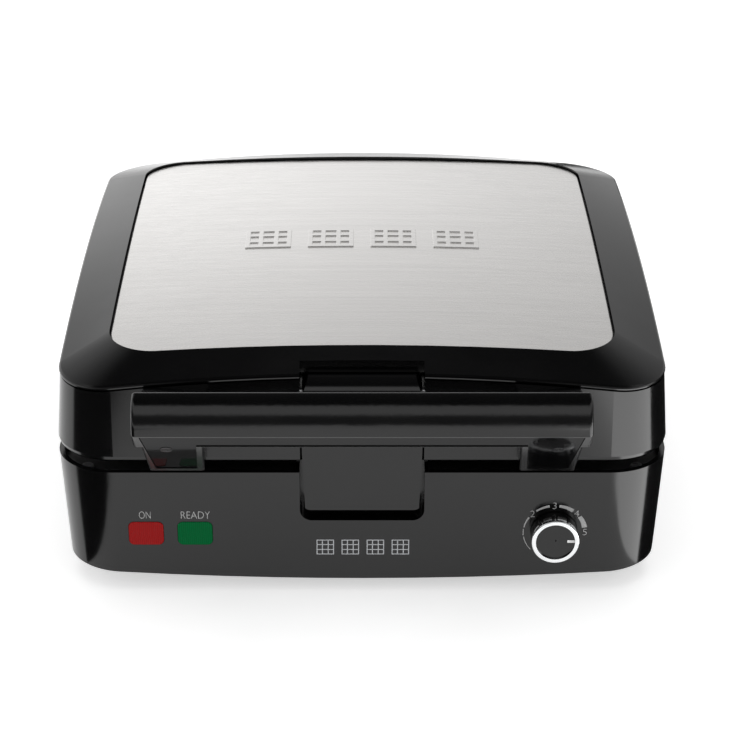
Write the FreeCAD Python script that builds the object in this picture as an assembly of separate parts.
import FreeCAD, Part
import math
import os

# Waffle maker, four square slices, lid hinged at the back.
# Millimetres, +Z up, floor at z = 0, front towards -Y.
# Solids are made with y = 0 at the middle of the casing, and moved by Y_SHIFT when they are
# written, so that the origin is under the middle of the whole object, handle and hinge included.

V = FreeCAD.Vector
X_AXIS, Y_AXIS, Z_AXIS = V(1, 0, 0), V(0, 1, 0), V(0, 0, 1)

# ---- driving dimensions -------------------------------------------------------------------
WIDTH = 335.0            # casing, left to right, at the parting line
DEPTH = 344.0            # casing, front to back, at the parting line
CORNER_R = 33.0          # plan corner radius
WALL = 3.0               # moulded wall
RIM_Z = 76.4             # top of the base
LID_GAP = 6.4            # open gap between base and lid
BASE_BOTTOM_Z = 8.0      # lowest point of the base's lower edge
BASE_BOW_R = 2100.0      # radius of the bowed lower edge
BASE_DRAFT = 0.0585      # inset per millimetre down the base wall
CREASE_Z = 124.7         # seam between lid wall and top cover, at the corners
CREASE_ARCH = 7.3        # how far the seam rises at the middle of each side
CREASE_DIP = 1.4         # how far the seam dips in each corner
CREASE_INSET = 2.8       # seam, inwards from the parting line outline
COVER_OVERHANG = 0.5     # top cover stands out over the lid wall
SEAM_GROOVE = 0.8        # shadow line under the top cover
COVER_T = 2.5            # top cover wall
APEX_Z = 147.0           # plane in which the four bevels are made to end
APEX_HALF_X, APEX_HALF_Y, APEX_R = 114.0, 120.0, 16.0
PANEL_TOP_Z = 143.8      # crown of the steel panel
PANEL_R = 2100.0         # dome radius of the steel panel
PANEL_HALF_X, PANEL_HALF_Y, PANEL_CORNER_R = 138.4, 145.0, 26.0
PANEL_T = 1.0
PANEL_LIP = 5.0          # depth of the panel's turned-down edge
PANEL_CLEARANCE = 0.7
PANEL_SEAT_WIDTH = 9.0

DECK_DROP = 6.0          # deck below the rim
DECK_T = 1.5
DECK_CLEARANCE = 0.3
DECK_OPENING_R = 6.0
DECK_RIB_OUT, DECK_RIB_T, DECK_RIB_H = 4.0, 1.5, 2.0
PLATE_Y = 4.0            # middle of the waffle plates
PLATE_HALF = 118.0       # cast block, half width
PLATE_FLANGE_HALF = 124.0
PLATE_FLANGE_T = 2.0
PLATE_EAR = 1.5          # flange, wider at the sides that take the screws
PLATE_CORNER_R, PLATE_FLANGE_R = 5.0, 9.0
RIDGE_DROP = 1.0         # ridges between slices, under the plate's rim
PLATE_FLOOR_T = 4.0
PLATE_RIM_GAP = 0.4      # between the two closed plates
SLICE = 108.0            # one square waffle
SLICE_PITCH = 113.0
SLICE_DEPTH = 16.0
SLICE_DRAFT = 4.0        # inset of the recess floor
TOOTH_COUNT = 4          # teeth along one side of a slice
TOOTH_PITCH = 24.5
TOOTH_BASE, TOOTH_TIP, TOOTH_H = 16.0, 11.0, 11.0
TOOTH_CORNER_R, SLICE_CORNER_R = 1.5, 4.0
DECK_OPENING_CLEARANCE = 1.0
PLATE_SCREW_R = 1.8
PLATE_SCREW_Y = 90.0     # screws, from the plate's middle
PLATE_SCREW_OUT = 0.6
PLATE_SCREW_HEAD_R = 3.4

ELEMENT_R = 3.5
ELEMENT_HALF = 85.0
ELEMENT_BEND_R, ELEMENT_TURN_R = 22.0, 12.0
ELEMENT_TAIL_OUT = 10.0  # tails reach this far out of the shield
ELEMENT_TAIL_X = 18.0
ELEMENT_CLEARANCE = 0.2
SHIELD_HALF = 130.0
SHIELD_T = 0.8
SHIELD_FLANGE = 7.0
SHIELD_CORNER_R = 10.0
SHIELD_DEPTH = 25.0

FOOT_R, FOOT_X, FOOT_Y = 9.0, 125.0, 128.0
FOOT_PEG_R = 4.0
COVER_PLATE_T = 2.5
VENT_W, VENT_L, VENT_PITCH, VENT_COUNT = 3.0, 36.0, 8.0, 9
VENT_Y = 66.0
BOSS_R = 5.0
BOSS_HEAD_GAP = 0.1       # screw heads in the base's corners to its wall
SCREW_R = 1.5
SCREW_HEAD_R = 3.2
SCREW_HEAD_H = 2.0
SCREW_L = 12.0

KNOB_X, KNOB_Z = 105.4, 38.4
KNOB_R, KNOB_RING_IN = 13.0, 10.7
KNOB_FRONT = 9.5         # knob face in front of the parting line plane
KNOB_WALL_CLEARANCE = 0.8
KNOB_BODY_FRONT = 8.3
KNOB_TAPER = 0.5
KNOB_SKIRT_T = 3.0
KNOB_HOLLOW_DEPTH = 4.0
SHAFT_R = 3.0
SHAFT_CLEARANCE = 0.05
BUSH_R = 4.6
THERMOSTAT_HALF, THERMOSTAT_T = 13.0, 20.0
THERMOSTAT_EAR, THERMOSTAT_PLATE_T = 3.0, 1.2
BLADE_X, BLADE_HALF_W, BLADE_L, BLADE_HALF_T = 7.0, 3.0, 8.0, 0.4
BUSH_PROUD = 2.4         # threaded bush, out past the dial's back
NUT_HALF, NUT_T, NUT_GAP = 6.6, 1.8, 0.1
SHAFT_SHORT = 4.0        # shaft ends this far inside the thermostat's back
SHAFT_COVER = 2.5        # dial's face over the shaft's end
KNOB_DISH_R, KNOB_DISH = 60.0, 0.7
RING_SUNK, RING_EDGE_R = 1.8, 0.8

LENS_W, LENS_H, LENS_R = 19.0, 14.5, 3.0
LENS_X = (-118.6, -91.7)
LENS_Z = 37.6
LENS_PROUD = 0.3
LENS_CLEARANCE = 0.25
LENS_FLANGE, LENS_FLANGE_T = 1.5, 1.5
BOARD_MARGIN_X, BOARD_HALF_H, BOARD_T = 14.0, 12.0, 1.6
BULB_R, BULB_TIP_R, BULB_L = 2.5, 1.8, 6.5

TERMINAL_X, TERMINAL_Y, TERMINAL_TOP = (45.0, 75.0), (120.0, 138.0), 27.0
TERMINAL_ENTRY_R, TERMINAL_ENTRY_PITCH, TERMINAL_ENTRY_BELOW = 1.8, 9.0, 6.0
FUSE_R, FUSE_L, FUSE_Y = 3.0, 16.0, 60.0

LATCH_HALF_W = 32.5
LATCH_SIDE_CLEARANCE = 1.0
LATCH_BELOW_RIM = 23.2
LATCH_TIP_TAPER = 1.5
LATCH_T = 7.0
LATCH_SUNK = 0.2         # latch's face, behind the casing's
LATCH_NECK_H = 16.0
LATCH_SHOULDER = 4.5     # barrel's ends, drawn in over the pin
NOSE_H = 6.0
LATCH_CORNER_R = 4.5
LATCH_PIVOT_INSET = 10.5
LATCH_PIVOT_Z = 120.4
LATCH_BARREL_R = 9.5
LATCH_PIN_R = 2.0
LATCH_PIN_CLEARANCE = 0.05
BARREL_CLEARANCE = 0.8    # latch barrel to the cover over it
LATCH_POCKET_INSET = 21.0
LATCH_POCKET_WALL = 2.0
LATCH_NOTCH_INSET = 13.7
LATCH_SLOT_HALF_W = 7.0  # slot in the barrel for the spring
SPRING_ROOM_R = 5.0      # height of that slot over the pin
LATCH_RECESS_CLEARANCE = 1.5  # sides of the latch to the sides of the recess
RECESS_BELOW_RIM = 30.5
RECESS_DEPTH = 15.0
RECESS_CORNER_R = 6.5
CATCH_HALF_W, CATCH_H, CATCH_DROP = 24.0, 3.0, 11.0
SNAP_CLEARANCE = 0.3

HANDLE_HALF_W = 120.0
HANDLE_FRONT = 41.0      # front of the bar, in front of the casing
HANDLE_BACK = 26.5
HANDLE_TOP = 62.6        # heights over the rim
HANDLE_BOTTOM = 42.6
BAR_CREST = ((0.7, 6.8), (2.4, 11.5), (6.1, 16.8), (11.8, 19.4))  # back and up, from its lower edge
LEG_OUT_TOP, LEG_IN_TOP = 118.0, 81.0
LEG_OUT_LOW, LEG_IN_LOW = 114.0, 84.4
LEG_FOOT_REACH = 10.0
LEG_ROOT_TOP = 50.5
LEG_INSIDE_BAR = 4.0     # the legs' tops end this far inside the bar
HEEL_RISE = 2.0          # back edge of the strip, up to the bar's back
LEG_FOOT_GAP = 0.2       # legs end this far above the lid's lower edge
BAR_EDGE_R, STRIP_EDGE_R, BAR_END_R, LEG_EDGE_R = 2.0, 0.8, 2.0, 1.5
STRIP_W = 14.5           # sloping strip under the bar
UNDERSIDE_WALL = 4.0
UNDERSIDE_T = 2.0
UNDERSIDE_RECESS = 0.5
UNDERSIDE_CLEARANCE = 0.15
HANDLE_SCREW_X = 103.0
HANDLE_SCREW_BELOW_BAR = 4.0
HANDLE_SCREW_L = 12.0

HINGE_Y_OUT = 4.0        # hinge axis behind the casing
KNUCKLE_R = 6.0
PIN_R = 2.5
PIN_CLEARANCE = 0.05
KNUCKLE_L = 8.0
LID_KNUCKLE_L = 13.2
KNUCKLE_GAP = 0.4
HINGE_X = 95.0
HINGE_WEB = 14.0         # height of the lug's root on the casing
KNUCKLE_NOTCH_CLEARANCE = 0.6

GLAND_X, GLAND_Z = -60.0, 30.0
GLAND_BORE_R, GLAND_BODY_R, GLAND_FLANGE_R = 3.7, 6.5, 9.0
GLAND_FLANGE_T = 3.0
GLAND_SUNK = 1.5         # flange starts this far inside the wall's face
GLAND_COLLAR_T = 2.5
CLAMP_HALF_W, CLAMP_Y, CLAMP_OVER = 9.0, (143.0, 151.0), 8.0

# ---- derived ------------------------------------------------------------------------------
HALF_X, HALF_Y = WIDTH / 2, DEPTH / 2
FRONT = -HALF_Y
RECESS_HALF_W = LATCH_HALF_W + LATCH_RECESS_CLEARANCE
BOSS_OFFSET = (CORNER_R - (RIM_Z - BASE_BOTTOM_Z) * BASE_DRAFT - WALL - SCREW_HEAD_R
               - BOSS_HEAD_GAP)  # boss centre from the plan corner's centre
LID_Z = RIM_Z + LID_GAP
MID_Z = RIM_Z + LID_GAP / 2
HINGE_Y, HINGE_Z = HALF_Y + HINGE_Y_OUT, MID_Z
Y_SHIFT = (HANDLE_FRONT - HINGE_Y_OUT - KNUCKLE_R) / 2
DECK_TOP = RIM_Z - DECK_DROP
PLATE_RIM = MID_Z - PLATE_RIM_GAP / 2
PLATE_BOTTOM = PLATE_RIM - SLICE_DEPTH - PLATE_FLOOR_T
ELEMENT_Z = PLATE_BOTTOM - ELEMENT_CLEARANCE - ELEMENT_R
SHIELD_BOTTOM = DECK_TOP - DECK_T - SHIELD_DEPTH
KNOB_BACK = FRONT + (RIM_Z - KNOB_Z - KNOB_R) * BASE_DRAFT - KNOB_WALL_CLEARANCE
LATCH_PIVOT_Y = FRONT + LATCH_PIVOT_INSET
LATCH_POCKET_TOP = LATCH_PIVOT_Z + 6.0
LAMP_BOARD_Y = FRONT + 16.0
RIGHT_LEFT = (("right", 1), ("left", -1))


def box(x0, x1, y0, y1, z0, z1):
    return Part.makeBox(x1 - x0, y1 - y0, z1 - z0, V(x0, y0, z0))


def cyl(r, length, start, direction):
    return Part.makeCylinder(r, length, start, direction)


def fuse(shapes):
    first, rest = shapes[0], shapes[1:]
    return first.fuse(rest).removeSplitter() if rest else first


def cut(shape, tools):
    return shape.cut(tools)


def outline(half_x, half_y, r, z, arch=0.0, dip=0.0):
    """Closed rounded rectangle at height z. Its sides can arch up and its corners dip."""
    sides = (((-(half_x - r), -half_y), (half_x - r, -half_y)),
             ((half_x, -(half_y - r)), (half_x, half_y - r)),
             ((half_x - r, half_y), (-(half_x - r), half_y)),
             ((-half_x, half_y - r), (-half_x, -(half_y - r))))
    edges = []
    for k, (a, b) in enumerate(sides):
        start, end = V(*a, z), V(*b, z)
        if arch:
            edges.append(Part.Arc(start, (start + end) * 0.5 + V(0, 0, arch), end))
        else:
            edges.append(Part.LineSegment(start, end))
        following = V(*sides[(k + 1) % 4][0], z)
        sx, sy = math.copysign(1, end.x + following.x), math.copysign(1, end.y + following.y)
        reach = r * math.sqrt(0.5)
        middle = V(sx * (half_x - r + reach), sy * (half_y - r + reach), z - dip)
        edges.append(Part.Arc(end, middle, following))
    return Part.Wire([edge.toShape() for edge in edges])


def casing(inset, z, arch=0.0, dip=0.0):
    return outline(HALF_X - inset, HALF_Y - inset, CORNER_R - inset, z, arch, dip)


def stack(wires):
    return Part.makeLoft(wires, True, True)


def prism(half_x, half_y, r, z0, z1):
    return Part.Face(outline(half_x, half_y, r, z0)).extrude(V(0, 0, z1 - z0))


def extrude_yz(points, x0, x1):
    """Solid with a side view given as (y, z) points, from x0 to x1."""
    corners = [V(x0, y, z) for y, z in points]
    return Part.Face(Part.makePolygon(corners + corners[:1])).extrude(V(x1 - x0, 0, 0))


def rounded_xz(half_w, height, r, x, z, y0, y1):
    """Rounded rectangle seen from the front, centred on x and z, from y0 to y1."""
    face = Part.Face(outline(half_w, height / 2, r, 0))
    solid = face.extrude(V(0, 0, y1 - y0))
    solid.rotate(V(0, 0, 0), X_AXIS, -90)
    solid.translate(V(x, y0, z))
    return solid


def corners(dx, dy):
    return [(sx * dx, sy * dy) for sy in (-1, 1) for sx in (1, -1)]


def upside_down(shape):
    """The lid's copy of a piece of the base, mirrored about the middle of the gap."""
    return shape.mirror(V(0, 0, MID_Z), Z_AXIS)


# ---- base ---------------------------------------------------------------------------------
def base_solid(inset, top=RIM_Z):
    """Everything inside the base's outer face, moved in by inset, with no lower limit."""
    bottom = (RIM_Z - BASE_BOTTOM_Z) * BASE_DRAFT
    return stack([casing(inset + bottom, BASE_BOTTOM_Z), casing(inset, top)])


def above_bow(offset):
    """Everything above the bowed lower edge of the base, raised by offset."""
    axis_z = BASE_BOTTOM_Z + offset + BASE_BOW_R
    drum = cyl(BASE_BOW_R, DEPTH + 2 * KNUCKLE_R, V(0, FRONT - KNUCKLE_R, axis_z), Y_AXIS)
    return drum.common(box(-WIDTH, WIDTH, -DEPTH, DEPTH, 0, RIM_Z + LID_GAP))


def wall_y(z):
    """Where the base's outer face is, from front to middle, at height z."""
    return FRONT + (RIM_Z - z) * BASE_DRAFT


def boss_places():
    along = CORNER_R - BOSS_OFFSET * math.sqrt(0.5)
    return corners(HALF_X - along, HALF_Y - along)


def recess(clearance, top):
    """The hollow in the base's front that the latch hangs in."""
    low = RIM_Z - RECESS_BELOW_RIM - clearance
    half = RECESS_HALF_W + clearance
    height = top - low + 2 * RECESS_CORNER_R
    body = rounded_xz(half, height, RECESS_CORNER_R, 0, low + height / 2,
                      FRONT - WALL, FRONT + RECESS_DEPTH + clearance)
    return body.common(box(-WIDTH, WIDTH, -DEPTH, DEPTH, 0, top))


def catch_rib():
    z1 = RIM_Z - CATCH_DROP
    y1 = FRONT + RECESS_DEPTH
    return box(-CATCH_HALF_W, CATCH_HALF_W, y1 - CATCH_H, y1 + 1, z1 - CATCH_H, z1)


def hinge_lugs(lid):
    """Knuckles on the pin line, with their webs on the casing, for the lid or for the base."""
    lugs = []
    for _, side in RIGHT_LEFT:
        if lid:
            spans = [(HINGE_X - LID_KNUCKLE_L / 2, HINGE_X + LID_KNUCKLE_L / 2)]
        else:
            inner = HINGE_X - LID_KNUCKLE_L / 2 - KNUCKLE_GAP
            outer = HINGE_X + LID_KNUCKLE_L / 2 + KNUCKLE_GAP
            spans = [(inner - KNUCKLE_L, inner), (outer, outer + KNUCKLE_L)]
        for near, far in spans:
            x0, x1 = sorted((side * near, side * far))
            z0, z1 = (HINGE_Z, HINGE_Z + HINGE_WEB) if lid else (HINGE_Z - HINGE_WEB, HINGE_Z)
            root = HALF_Y - WALL / 2
            knuckle = cyl(KNUCKLE_R, x1 - x0, V(x0, HINGE_Y, HINGE_Z), X_AXIS)
            low = z0 if not lid else z1
            web = extrude_yz([(root, low), (HINGE_Y + KNUCKLE_R, HINGE_Z), (root, HINGE_Z)], x0, x1)
            lugs.append(knuckle.fuse(web))
    return lugs


def knuckle_notches(lid):
    """Room round the other half's knuckles, so that the casing edge clears them as it turns."""
    r = KNUCKLE_R + KNUCKLE_NOTCH_CLEARANCE
    notches = []
    for _, side in RIGHT_LEFT:
        if lid:
            reach = LID_KNUCKLE_L / 2 + KNUCKLE_GAP
            spans = [(HINGE_X - reach - KNUCKLE_L, HINGE_X - reach),
                     (HINGE_X + reach, HINGE_X + reach + KNUCKLE_L)]
        else:
            spans = [(HINGE_X - LID_KNUCKLE_L / 2, HINGE_X + LID_KNUCKLE_L / 2)]
        for near, far in spans:
            x0, x1 = sorted((side * near, side * far))
            x0, x1 = x0 - KNUCKLE_GAP, x1 + KNUCKLE_GAP
            notches.append(cyl(r, x1 - x0, V(x0, HINGE_Y, HINGE_Z), X_AXIS))
    return notches


def pin_bores(r):
    return [cyl(r, DEPTH, V(-DEPTH / 2, HINGE_Y, HINGE_Z), X_AXIS)]


def lower_housing():
    outer = base_solid(0).common(above_bow(0))
    shell = outer.cut(base_solid(WALL, RIM_Z))
    top = DECK_TOP - DECK_T
    bosses = [cyl(BOSS_R, RIM_Z, V(x, y, 0), Z_AXIS) for x, y in boss_places()]
    room = above_bow(COVER_PLATE_T).common(box(-WIDTH, WIDTH, -DEPTH, DEPTH, 0, top))
    bosses = [boss.common(room).common(base_solid(WALL / 2)) for boss in bosses]
    pocket = recess(LATCH_POCKET_WALL, RIM_Z).common(base_solid(WALL / 2))
    solid = fuse([shell, pocket] + bosses)
    holes = [recess(0, LID_Z)] + knuckle_notches(False)
    pilot_low = [cyl(SCREW_R, SCREW_L + 1, V(x, y, bow_z(x) + COVER_PLATE_T - 1), Z_AXIS)
                 for x, y in boss_places()]
    pilot_high = [cyl(SCREW_R, SCREW_L, V(x, y, top - SCREW_L), Z_AXIS)
                  for x, y in boss_places()]
    hole_start = FRONT - WALL
    holes.append(cyl(BUSH_R, 4 * WALL, V(KNOB_X, hole_start, KNOB_Z), Y_AXIS))
    for x in LENS_X:
        holes.append(rounded_xz(LENS_W / 2 + LENS_CLEARANCE, LENS_H + 2 * LENS_CLEARANCE,
                                LENS_R + LENS_CLEARANCE, x, LENS_Z, hole_start, FRONT + 4 * WALL))
    holes.append(cyl(GLAND_BODY_R, 4 * WALL, V(GLAND_X, HALF_Y - 3 * WALL, GLAND_Z), Y_AXIS))
    solid = cut(solid, holes + pilot_low + pilot_high)
    solid = solid.fuse([catch_rib()] + hinge_lugs(False)).removeSplitter()
    return cut(solid, pin_bores(PIN_R))


def bow_z(x):
    return BASE_BOTTOM_Z + BASE_BOW_R - math.sqrt(BASE_BOW_R ** 2 - x ** 2)


def bottom_cover():
    plate = base_solid(WALL).common(above_bow(0)).cut(above_bow(COVER_PLATE_T))
    holes = []
    first = -(VENT_COUNT - 1) / 2 * VENT_PITCH
    for row in (-1, 1):
        for i in range(VENT_COUNT):
            holes.append(prism(VENT_W / 2, VENT_L / 2, VENT_W / 2 - 0.01, 0, RIM_Z))
            holes[-1].translate(V(first + i * VENT_PITCH, row * VENT_Y, 0))
    for x, y in corners(FOOT_X, FOOT_Y):
        holes.append(cyl(FOOT_PEG_R, RIM_Z, V(x, y, 0), Z_AXIS))
    for x, y in boss_places():
        holes.append(cyl(SCREW_R, RIM_Z, V(x, y, 0), Z_AXIS))
        holes.append(cyl(SCREW_HEAD_R, bow_z(x) + SCREW_HEAD_H / 2, V(x, y, 0), Z_AXIS))
    return cut(plate, holes)


def foot(x, y):
    pad_top = bow_z(abs(x) + FOOT_R) + 1
    pad = Part.makeCone(FOOT_R - 1, FOOT_R, pad_top, V(x, y, 0), Z_AXIS).cut(above_bow(0))
    peg = cyl(FOOT_PEG_R, bow_z(x) + COVER_PLATE_T, V(x, y, 0), Z_AXIS)
    return fuse([pad, peg])


def screws(places, head_z, up, length=SCREW_L, shank_r=SCREW_R, head_r=SCREW_HEAD_R):
    """One screw per place: head at head_z, shank going up or down from it."""
    turn = 1 if up else -1
    made = []
    for x, y in places:
        z = head_z(x) if callable(head_z) else head_z
        head = cyl(head_r, SCREW_HEAD_H, V(x, y, z - turn * SCREW_HEAD_H), V(0, 0, turn))
        slot = box(x - head_r, x + head_r, y - 0.4, y + 0.4, z - 0.8, z + 0.8)
        slot.translate(V(0, 0, -turn * SCREW_HEAD_H))
        shank = cyl(shank_r, length, V(x, y, z), V(0, 0, turn))
        made.append(head.cut(slot).fuse(shank).removeSplitter())
    return Part.makeCompound(made)


def deck(latch_room):
    """Frame inside the rim that carries a waffle plate, with room for what the latch hangs in."""
    z0 = DECK_TOP - DECK_T
    inset = WALL + (RIM_Z - z0) * BASE_DRAFT + DECK_CLEARANCE
    plate = prism(HALF_X - inset, HALF_Y - inset, CORNER_R - inset, z0, DECK_TOP)
    opening = PLATE_HALF + DECK_OPENING_CLEARANCE
    hole = prism(opening, opening, DECK_OPENING_R, 0, RIM_Z)
    hole.translate(V(0, PLATE_Y, 0))
    tools = [hole, latch_room] + hinge_room()
    tools += [cyl(SCREW_R, RIM_Z, V(x, y, 0), Z_AXIS) for x, y in boss_places()]
    tools += [cyl(PLATE_SCREW_R, RIM_Z, V(x, y, 0), Z_AXIS) for x, y in plate_screw_places()]
    rib_out, rib_in = opening + DECK_RIB_OUT, opening + DECK_RIB_OUT - DECK_RIB_T
    rib = prism(rib_out, rib_out, DECK_OPENING_R + 2, z0 - DECK_RIB_H, z0)
    rib = rib.cut(prism(rib_in, rib_in, DECK_OPENING_R + 1, z0 - DECK_RIB_H, z0))
    rib.translate(V(0, PLATE_Y, 0))
    return cut(plate.fuse(rib), tools)


def hinge_room():
    r = KNUCKLE_R + 2 * KNUCKLE_NOTCH_CLEARANCE
    return [cyl(r, WIDTH, V(-WIDTH / 2, HINGE_Y, HINGE_Z), X_AXIS)]


def plate_screw_places():
    at = (PLATE_HALF + PLATE_FLANGE_HALF) / 2 + PLATE_SCREW_OUT
    return [(sx * at, PLATE_Y + sy * PLATE_SCREW_Y) for sy in (-1, 1) for sx in (1, -1)]


def slice_places():
    p = SLICE_PITCH / 2
    return [(sx * p, PLATE_Y + sy * p) for sy in (-1, 1) for sx in (1, -1)]


def square_frustum(x, y, half_low, half_high, r, z0, z1):
    solid = stack([outline(half_low, half_low, r, z0), outline(half_high, half_high, r, z1)])
    solid.translate(V(x, y, 0))
    return solid


def waffle_plate():
    """Cast plate: a block with four recesses, a grid of teeth in each, and a flange."""
    block = prism(PLATE_HALF, PLATE_HALF, PLATE_CORNER_R, PLATE_BOTTOM, PLATE_RIM)
    flange = prism(PLATE_FLANGE_HALF + PLATE_EAR, PLATE_FLANGE_HALF, PLATE_FLANGE_R,
                   DECK_TOP, DECK_TOP + PLATE_FLANGE_T)
    solid = block.fuse(flange)
    solid.translate(V(0, PLATE_Y, 0))
    floor = PLATE_RIM - SLICE_DEPTH
    recesses = [square_frustum(x, y, SLICE / 2 - SLICE_DRAFT, SLICE / 2, SLICE_CORNER_R,
                               floor, PLATE_RIM) for x, y in slice_places()]
    # the ridge between two slices stays a little under the rim
    half, low = (SLICE_PITCH - SLICE) / 2, PLATE_RIM - RIDGE_DROP
    ridge = box(-SLICE_PITCH, SLICE_PITCH, PLATE_Y - half, PLATE_Y + half, low, PLATE_RIM)
    cross = box(-half, half, PLATE_Y - SLICE_PITCH, PLATE_Y + SLICE_PITCH, low, PLATE_RIM)
    limit = SLICE_PITCH / 2 + SLICE / 2
    inside = box(-limit, limit, PLATE_Y - limit, PLATE_Y + limit, 0, RIM_Z * 2)
    solid = cut(solid, recesses + [ridge.common(inside), cross.common(inside)])
    teeth = []
    first = -(TOOTH_COUNT - 1) / 2 * TOOTH_PITCH
    for x, y in slice_places():
        for i in range(TOOTH_COUNT):
            for j in range(TOOTH_COUNT):
                teeth.append(square_frustum(x + first + i * TOOTH_PITCH, y + first + j * TOOTH_PITCH,
                                            TOOTH_BASE / 2, TOOTH_TIP / 2, TOOTH_CORNER_R,
                                            floor, floor + TOOTH_H))
    solid = solid.fuse(teeth)
    holes = [cyl(PLATE_SCREW_R, RIM_Z, V(x, y, 0), Z_AXIS) for x, y in plate_screw_places()]
    return cut(solid, holes)


def element_path():
    """Middle line of the heater: two tails at the back, joined by a loop under the plate."""
    h, r, t = ELEMENT_HALF, ELEMENT_BEND_R, ELEMENT_TAIL_X
    back = SHIELD_HALF + ELEMENT_TAIL_OUT
    half = [(t, back), (t, h), (h, h), (h, -h), (0, -h)]
    radii = [0, ELEMENT_TURN_R, r, r, 0]
    points = [V(x, y + PLATE_Y, ELEMENT_Z) for x, y in half]
    edges = []
    here = points[0]
    for k in range(1, len(points) - 1):
        before = (points[k - 1] - points[k]).normalize() * radii[k]
        after = (points[k + 1] - points[k]).normalize() * radii[k]
        start, end = points[k] + before, points[k] + after
        centre = points[k] + before + after
        middle = centre + (points[k] - centre).normalize() * radii[k]
        edges.append(Part.LineSegment(here, start).toShape())
        edges.append(Part.Arc(start, middle, end).toShape())
        here = end
    edges.append(Part.LineSegment(here, points[-1]).toShape())
    return Part.Wire(edges)


def heating_element():
    path = element_path()
    start = path.Edges[0].Vertexes[0].Point
    ring = Part.Wire([Part.makeCircle(ELEMENT_R, start, V(0, -1, 0))])
    half = path.makePipeShell([ring], True, False)
    return half.fuse(half.mirror(V(0, 0, 0), X_AXIS)).removeSplitter()


def heat_shield():
    top = DECK_TOP - DECK_T
    h, r = SHIELD_HALF, SHIELD_CORNER_R
    outer = prism(h, h, r, SHIELD_BOTTOM, top)
    inner = prism(h - SHIELD_T, h - SHIELD_T, r - SHIELD_T, SHIELD_BOTTOM + SHIELD_T, top)
    rim = prism(h + SHIELD_FLANGE, h + SHIELD_FLANGE, r + 2, top - SHIELD_T, top)
    rim = rim.cut(prism(h - SHIELD_T, h - SHIELD_T, r - SHIELD_T, top - SHIELD_T, top))
    solid = outer.cut(inner).fuse(rim)
    solid.translate(V(0, PLATE_Y, 0))
    holes = [cyl(ELEMENT_R + ELEMENT_CLEARANCE, 20, V(sx * ELEMENT_TAIL_X, h - 10, ELEMENT_Z), Y_AXIS)
             for sx in (-1, 1)]
    return cut(solid, holes)


def thermostat():
    back = FRONT + 4 * WALL
    body = box(KNOB_X - THERMOSTAT_HALF, KNOB_X + THERMOSTAT_HALF, back, back + THERMOSTAT_T,
               KNOB_Z - THERMOSTAT_HALF, KNOB_Z + THERMOSTAT_HALF)
    ear = THERMOSTAT_HALF + THERMOSTAT_EAR
    plate = box(KNOB_X - ear, KNOB_X + ear, back - THERMOSTAT_PLATE_T, back,
                KNOB_Z - THERMOSTAT_HALF, KNOB_Z + THERMOSTAT_HALF)
    bush = cyl(BUSH_R, back - KNOB_BACK + BUSH_PROUD,
               V(KNOB_X, KNOB_BACK - BUSH_PROUD, KNOB_Z), Y_AXIS)
    bore = cyl(SHAFT_R + SHAFT_CLEARANCE, 60, V(KNOB_X, KNOB_BACK - 10, KNOB_Z), Y_AXIS)
    blades = [box(KNOB_X + x - BLADE_HALF_W, KNOB_X + x + BLADE_HALF_W,
                  back + THERMOSTAT_T, back + THERMOSTAT_T + BLADE_L,
                  KNOB_Z - BLADE_HALF_T, KNOB_Z + BLADE_HALF_T) for x in (-BLADE_X, BLADE_X)]
    hollow = bore.common(box(-WIDTH, WIDTH, FRONT - 40, back + THERMOSTAT_T - 3, 0, RIM_Z))
    return cut(fuse([body, plate, bush] + blades), [hollow])


def thermostat_nut():
    y = KNOB_BACK - NUT_T - NUT_GAP
    corner_r = NUT_HALF / math.cos(math.pi / 6)
    points = [V(KNOB_X + corner_r * math.cos(a), y, KNOB_Z + corner_r * math.sin(a))
              for a in [math.radians(60 * k) for k in range(7)]]
    hexagon = Part.Face(Part.makePolygon(points)).extrude(V(0, NUT_T, 0))
    washer = cyl(NUT_HALF, wall_y(KNOB_Z) - y - NUT_T, V(KNOB_X, y + NUT_T, KNOB_Z), Y_AXIS)
    nut = fuse([hexagon, washer]).cut(base_solid(0))
    return nut.cut(cyl(BUSH_R, 30, V(KNOB_X, y - 10, KNOB_Z), Y_AXIS))


def thermostat_shaft():
    inner = FRONT + 4 * WALL + THERMOSTAT_T - SHAFT_SHORT
    outer = FRONT - KNOB_BODY_FRONT + SHAFT_COVER
    return cyl(SHAFT_R, inner - outer, V(KNOB_X, outer, KNOB_Z), Y_AXIS)


def control_knob():
    front = FRONT - KNOB_BODY_FRONT
    length = KNOB_BACK - front
    body = Part.makeCone(KNOB_R, KNOB_R - KNOB_TAPER, length, V(KNOB_X, KNOB_BACK, KNOB_Z), V(0, -1, 0))
    dish = Part.makeSphere(KNOB_DISH_R, V(KNOB_X, front - KNOB_DISH_R + KNOB_DISH, KNOB_Z), Y_AXIS)
    hollow = cyl(KNOB_R - KNOB_SKIRT_T, KNOB_HOLLOW_DEPTH, V(KNOB_X, KNOB_BACK, KNOB_Z), V(0, -1, 0))
    bore = cyl(SHAFT_R, KNOB_BACK - thermostat_shaft().BoundBox.YMin,
               V(KNOB_X, KNOB_BACK, KNOB_Z), V(0, -1, 0))
    return cut(body, [dish, hollow, bore, knob_ring(), knob_pointer()])


def knob_ring():
    depth = KNOB_FRONT - KNOB_BODY_FRONT + RING_SUNK
    ring = cyl(KNOB_R, depth, V(KNOB_X, FRONT - KNOB_FRONT + depth, KNOB_Z), V(0, -1, 0))
    ring = ring.makeFillet(RING_EDGE_R, [e for e in ring.Edges if e.BoundBox.YMax < FRONT - KNOB_FRONT + 0.1
                                 and e.BoundBox.XLength > KNOB_R])
    return ring.cut(cyl(KNOB_RING_IN, 20, V(KNOB_X, FRONT, KNOB_Z), V(0, -1, 0)))


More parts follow.
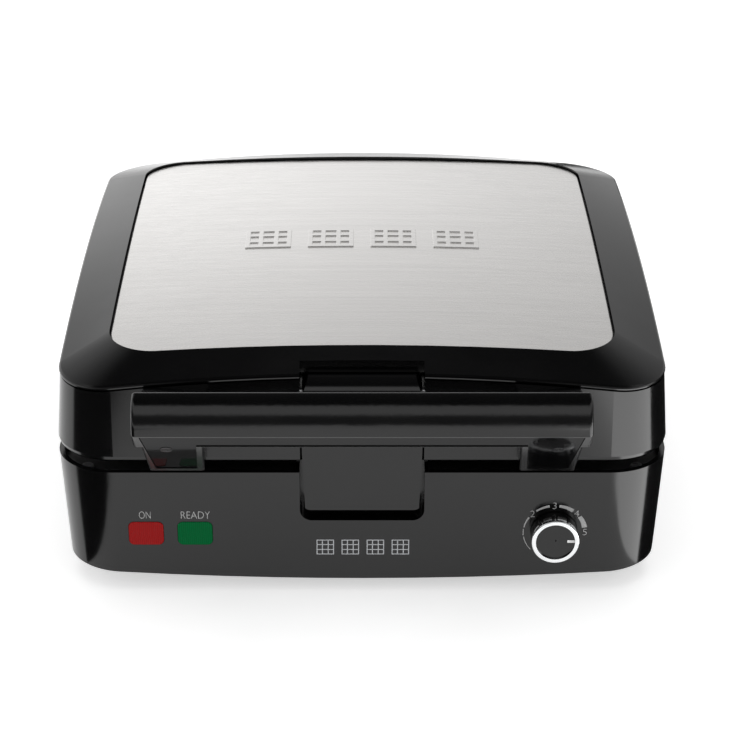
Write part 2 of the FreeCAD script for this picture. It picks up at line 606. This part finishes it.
def knob_pointer():
    length, width, depth, proud, ring_gap = 4.2, 1.5, 1.6, 0.2, 0.1
    front = FRONT - KNOB_BODY_FRONT
    return box(KNOB_X + KNOB_RING_IN - length, KNOB_X + KNOB_RING_IN - ring_gap,
               front - proud, front + depth, KNOB_Z - width / 2, KNOB_Z + width / 2)


def lens(x):
    inside = FRONT + (RIM_Z - LENS_Z + LENS_H / 2 + LENS_FLANGE) * BASE_DRAFT + WALL
    window = rounded_xz(LENS_W / 2, LENS_H, LENS_R, x, LENS_Z, FRONT - WALL, inside)
    window = window.common(base_solid(-LENS_PROUD))
    flange = rounded_xz(LENS_W / 2 + LENS_FLANGE, LENS_H + 2 * LENS_FLANGE, LENS_R + LENS_FLANGE,
                        x, LENS_Z, inside, inside + LENS_FLANGE_T)
    return fuse([window, flange])


def lamp_board():
    return box(LENS_X[0] - BOARD_MARGIN_X, LENS_X[1] + BOARD_MARGIN_X,
               LAMP_BOARD_Y, LAMP_BOARD_Y + BOARD_T, LENS_Z - BOARD_HALF_H, LENS_Z + BOARD_HALF_H)


def lamp_bulbs():
    bulbs = []
    for x in LENS_X:
        barrel = cyl(BULB_R, BULB_L, V(x, LAMP_BOARD_Y, LENS_Z), V(0, -1, 0))
        tip = [e for e in barrel.Edges if e.BoundBox.YMax < LAMP_BOARD_Y - BULB_L + 0.1]
        bulbs.append(barrel.makeFillet(BULB_TIP_R, tip))
    return Part.makeCompound(bulbs)


def terminal_block():
    body = box(*TERMINAL_X, *TERMINAL_Y, BASE_BOTTOM_Z, TERMINAL_TOP).common(above_bow(COVER_PLATE_T))
    middle, z = sum(TERMINAL_X) / 2, TERMINAL_TOP - TERMINAL_ENTRY_BELOW
    entries = [cyl(TERMINAL_ENTRY_R, TERMINAL_Y[1] - TERMINAL_Y[0],
                   V(middle + k * TERMINAL_ENTRY_PITCH, TERMINAL_Y[0], z), Y_AXIS)
               for k in (-1, 0, 1)]
    return cut(body, entries)


def thermal_fuse():
    return cyl(FUSE_R, FUSE_L, V(-FUSE_L / 2, FUSE_Y, SHIELD_BOTTOM - FUSE_R), X_AXIS)


def cord_gland():
    y_wall = -wall_y(GLAND_Z)
    inner = cyl(GLAND_FLANGE_R - 1, GLAND_COLLAR_T, V(GLAND_X, y_wall - 2 * WALL - 1, GLAND_Z), Y_AXIS)
    body = cyl(GLAND_BODY_R, 2 * WALL + 1, V(GLAND_X, y_wall - 2 * WALL, GLAND_Z), Y_AXIS)
    flange = cyl(GLAND_FLANGE_R, GLAND_FLANGE_T + 2, V(GLAND_X, y_wall - GLAND_SUNK, GLAND_Z), Y_AXIS)
    flange = flange.cut(base_solid(0))
    solid = fuse([body, inner.common(base_solid(WALL)), flange])
    return solid.cut(cyl(GLAND_BORE_R, 40, V(GLAND_X, y_wall - 20, GLAND_Z), Y_AXIS))


def cord_clamp():
    block = box(GLAND_X - CLAMP_HALF_W, GLAND_X + CLAMP_HALF_W, *CLAMP_Y,
                BASE_BOTTOM_Z, GLAND_Z + CLAMP_OVER)
    block = block.common(above_bow(COVER_PLATE_T))
    return block.cut(cyl(GLAND_BORE_R, DEPTH, V(GLAND_X, 0, GLAND_Z), Y_AXIS))


def hinge_pin(side):
    reach = LID_KNUCKLE_L / 2 + KNUCKLE_GAP + KNUCKLE_L
    x0 = side * HINGE_X - reach
    return cyl(PIN_R, 2 * reach, V(x0, HINGE_Y, HINGE_Z), X_AXIS)


# ---- lid ----------------------------------------------------------------------------------
def dome(drop):
    """Everything under the panel's dome, lowered by drop. The ball's seam is turned underneath."""
    centre = V(0, 0, PANEL_TOP_Z - PANEL_R)
    ball = Part.makeSphere(PANEL_R - drop, centre, X_AXIS)
    ball.rotate(centre, X_AXIS, 180)
    return ball


def dome_slab(drop):
    room = box(-WIDTH, WIDTH, -DEPTH, DEPTH, LID_Z - 2, APEX_Z + 10)
    return dome(drop).common(room)


def crease(inset, dz=0.0):
    return casing(CREASE_INSET + inset, CREASE_Z + dz, CREASE_ARCH, CREASE_DIP)


def apex(inset=0.0, dz=0.0):
    return outline(APEX_HALF_X - inset, APEX_HALF_Y - inset, APEX_R, APEX_Z + dz)


def lid_wall_solid(inset):
    """Everything inside the lid's side wall, moved in by inset, up past the seam."""
    chamfer = [(1.6, 0.0), (0.5, 1.3), (0.0, 3.2)] if inset == 0 else [(0.0, 0.0)]
    low = [casing(inset + i, LID_Z + dz) for i, dz in chamfer]
    return stack(low + [crease(inset), apex(inset)])


def over_seam(dz):
    """Everything above the parting face that runs inwards and down from the seam."""
    outside = 6.0
    return stack([casing(26.0, CREASE_Z - 20 + dz), crease(0, dz), crease(-outside, dz),
                  casing(-outside, APEX_Z + 10)])


def cover_outer():
    edge = COVER_OVERHANG
    return stack([casing(CREASE_INSET, LID_Z), crease(0), crease(-0.8 * edge, 0.4),
                  crease(-edge, 1.1), crease(-0.6 * edge, 1.9), crease(0.6, 2.7), apex()])


def panel_pocket(clearance, drop):
    pocket = prism(PANEL_HALF_X + clearance, PANEL_HALF_Y + clearance,
                   PANEL_CORNER_R + clearance, LID_Z, APEX_Z + 10)
    return pocket.cut(dome_slab(drop))


def latch_slot(half_w, z0, z1, inset):
    return box(-half_w, half_w, FRONT - 20, FRONT + inset, z0, z1)


def top_cover():
    seat = PANEL_LIP + 0.3
    solid = cover_outer().common(over_seam(0))
    cavity = stack([casing(COVER_T + CREASE_INSET, LID_Z), crease(COVER_T, 0.2), apex(0.5, -COVER_T)])
    cavity = cavity.common(dome_slab(seat + COVER_T))
    lip = stack([casing(WALL, LID_Z), crease(WALL)] + [apex(WALL)])
    lip = lip.cut(stack([casing(WALL + 2, LID_Z), crease(WALL + 2), apex(WALL + 2)]))
    lip = lip.common(box(-WIDTH, WIDTH, -DEPTH, DEPTH, CREASE_Z - 12, APEX_Z))
    solid = solid.cut(cavity).fuse(lip.common(cover_outer()))
    hole = prism(PANEL_HALF_X - PANEL_SEAT_WIDTH, PANEL_HALF_Y - PANEL_SEAT_WIDTH,
                 PANEL_CORNER_R - PANEL_SEAT_WIDTH, LID_Z, APEX_Z + 10)
    half = LATCH_HALF_W + LATCH_SIDE_CLEARANCE
    room = half + LATCH_POCKET_WALL + 0.3
    notch = latch_slot(half, LID_Z, APEX_Z, LATCH_NOTCH_INSET)
    under = latch_slot(room, LID_Z, LATCH_POCKET_TOP + 0.6,
                       LATCH_POCKET_INSET + LATCH_POCKET_WALL + 0.3)
    barrel_room = cyl(LATCH_BARREL_R + BARREL_CLEARANCE, 2 * half,
                      V(-half, LATCH_PIVOT_Y, LATCH_PIVOT_Z), X_AXIS)
    return cut(solid, [panel_pocket(PANEL_CLEARANCE, seat), hole, notch, under, barrel_room])


def lid_panel():
    sheet = prism(PANEL_HALF_X, PANEL_HALF_Y, PANEL_CORNER_R, LID_Z, APEX_Z + 10)
    inner = prism(PANEL_HALF_X - PANEL_T, PANEL_HALF_Y - PANEL_T, PANEL_CORNER_R - PANEL_T,
                  LID_Z, APEX_Z + 10)
    cap = sheet.common(dome_slab(0)).cut(dome_slab(PANEL_LIP))
    rim = [e for e in cap.Edges if e.BoundBox.ZMin > PANEL_TOP_Z - 12 and on_dome(e)]
    cap = cap.makeFillet(0.7 * PANEL_T, rim)
    return cap.cut(inner.common(dome_slab(PANEL_T)))


def on_dome(edge):
    centre = V(0, 0, PANEL_TOP_Z - PANEL_R)
    ends = [edge.valueAt(edge.FirstParameter), edge.valueAt(edge.LastParameter)]
    return all(abs((p - centre).Length - PANEL_R) < 0.01 for p in ends)


def lid_boss_top():
    return CREASE_Z - 14.0


def upper_housing():
    shell = lid_wall_solid(0).cut(lid_wall_solid(WALL))
    shell = shell.cut(over_seam(-SEAM_GROOVE))
    z0 = LID_Z + DECK_DROP + DECK_T
    bosses = [cyl(BOSS_R, lid_boss_top() - z0, V(x, y, z0), Z_AXIS).common(lid_wall_solid(WALL / 2))
              for x, y in boss_places()]
    webs = [box(min(x, x * 1.2), max(x, x * 1.2), y - 1.2, y + 1.2, z0, lid_boss_top())
            for x, y in boss_places()]
    webs = [web.common(lid_wall_solid(WALL / 2)) for web in webs]
    half = LATCH_HALF_W + LATCH_SIDE_CLEARANCE
    outer_half = half + LATCH_POCKET_WALL
    back = LATCH_POCKET_INSET + LATCH_POCKET_WALL
    pocket = box(-outer_half, outer_half, FRONT + WALL / 2, FRONT + back, LID_Z, LATCH_POCKET_TOP)
    pocket = pocket.common(lid_wall_solid(WALL / 2))
    solid = fuse([shell, pocket] + bosses + webs)
    room = latch_slot(half, LID_Z - 1, APEX_Z, LATCH_POCKET_INSET)
    holes = [room] + knuckle_notches(True)
    pin_room = half + LATCH_POCKET_WALL
    holes.append(cyl(LATCH_PIN_R, 2 * pin_room, V(-pin_room, LATCH_PIVOT_Y, LATCH_PIVOT_Z), X_AXIS))
    holes += [cyl(SCREW_R, SCREW_L, V(x, y, z0), Z_AXIS) for x, y in boss_places()]
    solid = cut(solid, holes)
    solid = solid.fuse(hinge_lugs(True)).removeSplitter()
    return cut(solid, pin_bores(PIN_R + PIN_CLEARANCE))


# ---- latch --------------------------------------------------------------------------------
def latch():
    low = RIM_Z - LATCH_BELOW_RIM
    y0 = FRONT + LATCH_SUNK
    pivot_y, pivot_z = LATCH_PIVOT_Y, LATCH_PIVOT_Z
    plate = rounded_xz(LATCH_HALF_W, pivot_z - low + 2 * LATCH_CORNER_R, LATCH_CORNER_R, 0,
                       (pivot_z + low) / 2 + LATCH_CORNER_R, y0, y0 + LATCH_T)
    plate = plate.common(box(-WIDTH, WIDTH, -DEPTH, DEPTH, 0, pivot_z - 3))
    barrel = cyl(LATCH_BARREL_R, 2 * LATCH_HALF_W, V(-LATCH_HALF_W, pivot_y, pivot_z), X_AXIS)
    neck = box(-LATCH_HALF_W, LATCH_HALF_W, y0, pivot_y, pivot_z - LATCH_NECK_H, pivot_z)
    neck = neck.common(extrude_yz([(y0, pivot_z - LATCH_NECK_H), (y0 + LATCH_T, pivot_z - LATCH_NECK_H),
                                   (pivot_y, pivot_z - 9), (pivot_y, pivot_z),
                                   (y0 + 1.2, pivot_z), (y0, pivot_z - 6)],
                                  -LATCH_HALF_W, LATCH_HALF_W))
    solid = fuse([plate, barrel, neck])
    sides = []
    for side in (1, -1):
        wedge = Part.makePolygon([V(side * (LATCH_HALF_W - LATCH_TIP_TAPER), 0, low),
                                  V(side * LATCH_HALF_W, 0, RIM_Z + 12),
                                  V(side * (LATCH_HALF_W + 9), 0, RIM_Z + 12),
                                  V(side * (LATCH_HALF_W + 9), 0, low - 1),
                                  V(side * (LATCH_HALF_W - LATCH_TIP_TAPER), 0, low - 1),
                                  V(side * (LATCH_HALF_W - LATCH_TIP_TAPER), 0, low)])
        wedge = Part.Face(wedge).extrude(V(0, 60, 0))
        wedge.translate(V(0, FRONT - 20, 0))
        sides.append(wedge)
        shoulder = Part.Face(Part.makePolygon([V(side * LATCH_HALF_W, 0, pivot_z + 1),
                                               V(side * (LATCH_HALF_W - LATCH_SHOULDER), 0, pivot_z + 12),
                                               V(side * (LATCH_HALF_W + 9), 0, pivot_z + 12),
                                               V(side * (LATCH_HALF_W + 9), 0, pivot_z + 1),
                                               V(side * LATCH_HALF_W, 0, pivot_z + 1)]))
        shoulder = shoulder.extrude(V(0, 60, 0))
        shoulder.translate(V(0, FRONT - 20, 0))
        sides.append(shoulder)
    bore = cyl(LATCH_PIN_R + LATCH_PIN_CLEARANCE, 4 * LATCH_HALF_W,
               V(-2 * LATCH_HALF_W, pivot_y, pivot_z), X_AXIS)
    slot = box(-LATCH_SLOT_HALF_W, LATCH_SLOT_HALF_W, pivot_y - 6.5, pivot_y + 20,
               pivot_z - 10.5, pivot_z + SPRING_ROOM_R)
    slot = slot.cut(extrude_yz([(pivot_y - 20, pivot_z - 20), (pivot_y + 20, pivot_z - 20),
                                (pivot_y - 6.5, pivot_z - 6)], -20, 20))
    solid = cut(solid, sides + [bore, slot])
    nose_front = FRONT + RECESS_DEPTH - CATCH_H - SNAP_CLEARANCE
    nose_top = RIM_Z - CATCH_DROP - CATCH_H - SNAP_CLEARANCE
    nose = extrude_yz([(y0 + LATCH_T / 2, nose_top - NOSE_H), (y0 + LATCH_T, nose_top - NOSE_H),
                       (nose_front, nose_top - 3), (nose_front, nose_top - 0.5),
                       (y0 + LATCH_T / 2, nose_top)], -CATCH_HALF_W, CATCH_HALF_W)
    return solid.fuse(nose).removeSplitter()


def latch_pin():
    reach = LATCH_HALF_W + LATCH_SIDE_CLEARANCE + LATCH_POCKET_WALL
    return cyl(LATCH_PIN_R, 2 * reach, V(-reach, LATCH_PIVOT_Y, LATCH_PIVOT_Z), X_AXIS)


def latch_spring():
    """Torsion spring wound round the latch pin."""
    wire_r, coil_r, pitch, turns = 0.5, 3.4, 1.4, 6
    helix = Part.makeHelix(pitch, pitch * turns, coil_r)
    ring = Part.Wire([Part.makeCircle(wire_r, V(coil_r, 0, 0), Y_AXIS)])
    coil = Part.Wire(helix.Edges).makePipeShell([ring], True, True)
    coil.rotate(V(0, 0, 0), Y_AXIS, 90)
    coil.translate(V(-pitch * turns / 2, LATCH_PIVOT_Y, LATCH_PIVOT_Z))
    return coil


# ---- handle -------------------------------------------------------------------------------
def handle_point(forward, up):
    """A place in the handle's side view: forward of the casing, and up from the rim."""
    return V(0, FRONT - forward, RIM_Z + up)


# the underside of legs and bar is one sloping plane, from the legs' feet up to the bar's front
UNDERSIDE_FOOT = handle_point(LEG_FOOT_REACH, LID_GAP + LEG_FOOT_GAP)
UNDERSIDE_TOP = handle_point(HANDLE_FRONT, HANDLE_BOTTOM)
UNDERSIDE_LENGTH = (UNDERSIDE_TOP - UNDERSIDE_FOOT).Length
ALONG = (UNDERSIDE_TOP - UNDERSIDE_FOOT).normalize()
INWARD = V(0, ALONG.z, -ALONG.y)


def bar_section():
    """A front that leans back as it rises and rolls over into the top, on a sloping strip."""
    crest = [handle_point(HANDLE_FRONT - back, HANDLE_BOTTOM + up) for back, up in BAR_CREST]
    front = Part.BSplineCurve()
    corner = handle_point(HANDLE_BACK, HANDLE_TOP)
    front.interpolate(Points=[UNDERSIDE_TOP] + crest, InitialTangent=Z_AXIS,
                      FinalTangent=(corner - crest[-1]).normalize())
    strip_end = UNDERSIDE_TOP - ALONG * STRIP_W
    heel = handle_point(HANDLE_BACK, strip_end.z - RIM_Z + HEEL_RISE)
    loop = [UNDERSIDE_TOP, strip_end, heel, corner, crest[-1]]
    edges = [Part.makeLine(start, end) for start, end in zip(loop, loop[1:])]
    return Part.Face(Part.Wire([front.toShape()] + edges[::-1]))


def leg_edge_x(inner, z):
    """How far from the middle the inner or outer face of a leg is at height z."""
    low_z, high_z = RIM_Z + LID_GAP, RIM_Z + HANDLE_TOP
    share = (z - low_z) / (high_z - low_z)
    low, high = (LEG_IN_LOW, LEG_IN_TOP) if inner else (LEG_OUT_LOW, LEG_OUT_TOP)
    return low + (high - low) * share


def leg(side):
    """One leg, tapering downwards in the front view, run back into the casing."""
    side_view = [handle_point(-8, LID_GAP + LEG_FOOT_GAP), UNDERSIDE_FOOT, UNDERSIDE_TOP,
                 handle_point(HANDLE_BACK + LEG_INSIDE_BAR, HANDLE_TOP - LEG_INSIDE_BAR),
                 handle_point(-8, LEG_ROOT_TOP - 2)]
    body = extrude_yz([(p.y, p.z) for p in side_view], -HANDLE_HALF_W, HANDLE_HALF_W)
    low, high = RIM_Z, RIM_Z + HANDLE_TOP + 5
    front_view = [V(side * leg_edge_x(inner, z), FRONT - 60, z)
                  for inner, z in ((True, low), (False, low), (False, high), (True, high))]
    column = Part.Face(Part.makePolygon(front_view + front_view[:1])).extrude(V(0, 80, 0))
    solid = body.common(column)
    behind_bar = handle_point(HANDLE_BACK + LEG_INSIDE_BAR, 0).y
    long_edges = [e for e in solid.Edges
                  if behind_bar < e.CenterOfMass.y < FRONT - 2 and e.BoundBox.YLength > 5]
    return solid.makeFillet(LEG_EDGE_R, long_edges)


def underside_outline(margin):
    """U shape on the underside plane: down both legs and along the bar, in by margin all round."""
    low, strip, high = margin - 1, UNDERSIDE_LENGTH - STRIP_W + 1, UNDERSIDE_LENGTH - 1
    low_z, strip_z = (UNDERSIDE_FOOT + ALONG * low).z, (UNDERSIDE_FOOT + ALONG * strip).z
    right = [(leg_edge_x(True, strip_z) + margin, strip), (leg_edge_x(True, low_z) + margin, low),
             (leg_edge_x(False, low_z) - margin, low), (HANDLE_HALF_W - margin, high)]
    left = [(-x, u) for x, u in reversed(right)]
    corners_3d = [V(x, 0, 0) + UNDERSIDE_FOOT + ALONG * u for x, u in right + left]
    return Part.Face(Part.makePolygon(corners_3d + corners_3d[:1]))


def handle_screw_places():
    along = UNDERSIDE_LENGTH - STRIP_W - HANDLE_SCREW_BELOW_BAR
    return [V(side * HANDLE_SCREW_X, 0, 0) + UNDERSIDE_FOOT + ALONG * along for side in (1, -1)]


def handle_bar():
    bar = bar_section().extrude(V(2 * HANDLE_HALF_W, 0, 0))
    bar.translate(V(-HANDLE_HALF_W, 0, 0))
    back = [e for e in bar.Edges if abs(e.CenterOfMass.x) < 1
            and abs(e.CenterOfMass.y - handle_point(HANDLE_BACK, 0).y) < 0.01]
    bar = bar.makeFillet(BAR_EDGE_R, back)
    strip_end = UNDERSIDE_TOP - ALONG * STRIP_W
    strip = [e for e in bar.Edges if abs(e.CenterOfMass.x) < 1
             and min((e.CenterOfMass - UNDERSIDE_TOP).Length,
                     (e.CenterOfMass - strip_end).Length) < 0.1]
    bar = bar.makeFillet(STRIP_EDGE_R, strip)
    ends = [e for e in bar.Edges if abs(abs(e.CenterOfMass.x) - HANDLE_HALF_W) < 0.01]
    return bar.makeFillet(BAR_END_R, ends)


def handle_grip():
    solid = fuse([handle_bar(), leg(1), leg(-1)])
    solid = cut(solid, [lid_wall_solid(0), cover_outer()])
    pocket = underside_outline(UNDERSIDE_WALL)
    pocket.translate(INWARD * -1)
    pocket = pocket.extrude(INWARD * (1 + UNDERSIDE_RECESS + UNDERSIDE_T))
    pilots = [cyl(SCREW_R, HANDLE_SCREW_L, at, INWARD) for at in handle_screw_places()]
    return cut(solid, [pocket] + pilots)


def handle_underside():
    plate = underside_outline(UNDERSIDE_WALL + UNDERSIDE_CLEARANCE)
    plate.translate(INWARD * UNDERSIDE_RECESS)
    plate = plate.extrude(INWARD * UNDERSIDE_T)
    holes = [cyl(SCREW_R, HANDLE_SCREW_L, at, INWARD) for at in handle_screw_places()]
    heads = [cyl(SCREW_HEAD_R, UNDERSIDE_RECESS + UNDERSIDE_T / 2, at, INWARD)
             for at in handle_screw_places()]
    return cut(plate, holes + heads)


def handle_screws():
    sunk = UNDERSIDE_RECESS + UNDERSIDE_T / 2
    made = []
    for at in handle_screw_places():
        head = cyl(SCREW_HEAD_R, UNDERSIDE_T / 2 + 0.2, at + INWARD * (UNDERSIDE_RECESS - 0.2), INWARD)
        slot = box(-SCREW_HEAD_R, SCREW_HEAD_R, -0.4, 0.4, -0.6, 0.6)
        slot.rotate(V(0, 0, 0), X_AXIS, math.degrees(math.atan2(INWARD.z, INWARD.y)) - 90)
        slot.translate(at + INWARD * (UNDERSIDE_RECESS - 0.2))
        shank = cyl(SCREW_R, HANDLE_SCREW_L - sunk, at + INWARD * sunk, INWARD)
        made.append(fuse([head.cut(slot), shank]))
    return Part.makeCompound(made)


# ---- writing ------------------------------------------------------------------------------
def write(name, shape):
    shape = shape.copy()
    shape.translate(V(0, Y_SHIFT, 0))
    solids = shape.Solids
    made = solids[0] if len(solids) == 1 else Part.makeCompound(solids)
    print("%-24s solids %2d valid %s volume %9.0f" % (name, len(solids), made.isValid(), made.Volume))
    made.exportStep("parts/" + name + ".step")


def main():
    os.makedirs("parts", exist_ok=True)
    base_latch_room = recess(LATCH_POCKET_WALL + DECK_CLEARANCE, RIM_Z)
    room_half = LATCH_HALF_W + LATCH_SIDE_CLEARANCE + LATCH_POCKET_WALL + DECK_CLEARANCE
    lid_latch_room = latch_slot(room_half, 0, RIM_Z,
                                LATCH_POCKET_INSET + LATCH_POCKET_WALL + DECK_CLEARANCE)
    plate, element, shield = waffle_plate(), heating_element(), heat_shield()
    plate_screws = screws(plate_screw_places(), DECK_TOP + PLATE_FLANGE_T, False, 5.0,
                          PLATE_SCREW_R, PLATE_SCREW_HEAD_R)
    deck_screws = screws(boss_places(), DECK_TOP, False)

    write("lower_housing", lower_housing())
    write("bottom_cover", bottom_cover())
    for x, y in corners(FOOT_X, FOOT_Y):
        write("foot_%s_%s" % ("front" if y < 0 else "rear", "right" if x > 0 else "left"), foot(x, y))
    write("lower_deck", deck(base_latch_room))
    write("lower_waffle_plate", plate)
    write("lower_heating_element", element)
    write("lower_heat_shield", shield)
    write("lower_plate_screws", plate_screws)
    write("lower_deck_screws", deck_screws)
    write("bottom_screws", screws(boss_places(), lambda x: bow_z(x) + SCREW_HEAD_H / 2, True))
    write("thermostat", thermostat())
    write("thermostat_nut", thermostat_nut())
    write("on_lens", lens(LENS_X[0]))
    write("ready_lens", lens(LENS_X[1]))
    write("lamp_board", lamp_board())
    write("lamp_bulbs", lamp_bulbs())
    write("terminal_block", terminal_block())
    write("thermal_fuse", thermal_fuse())
    write("cord_gland", cord_gland())
    write("cord_clamp", cord_clamp())
    for name, side in RIGHT_LEFT:
        write("hinge_pin_" + name, hinge_pin(side))

    write("upper_housing", upper_housing())
    write("top_cover", top_cover())
    write("lid_panel", lid_panel())
    write("upper_deck", upside_down(deck(lid_latch_room)))
    write("upper_waffle_plate", upside_down(plate))
    write("upper_heating_element", upside_down(element))
    write("upper_heat_shield", upside_down(shield))
    write("upper_plate_screws", upside_down(plate_screws))
    write("upper_deck_screws", upside_down(deck_screws))
    write("handle_grip", handle_grip())
    write("handle_underside", handle_underside())
    write("handle_screws", handle_screws())
    write("latch_pin", latch_pin())
    write("latch_spring", latch_spring())
    write("latch", latch())

    write("control_knob", control_knob())
    write("knob_ring", knob_ring())
    write("knob_pointer", knob_pointer())
    write("thermostat_shaft", thermostat_shaft())


main()
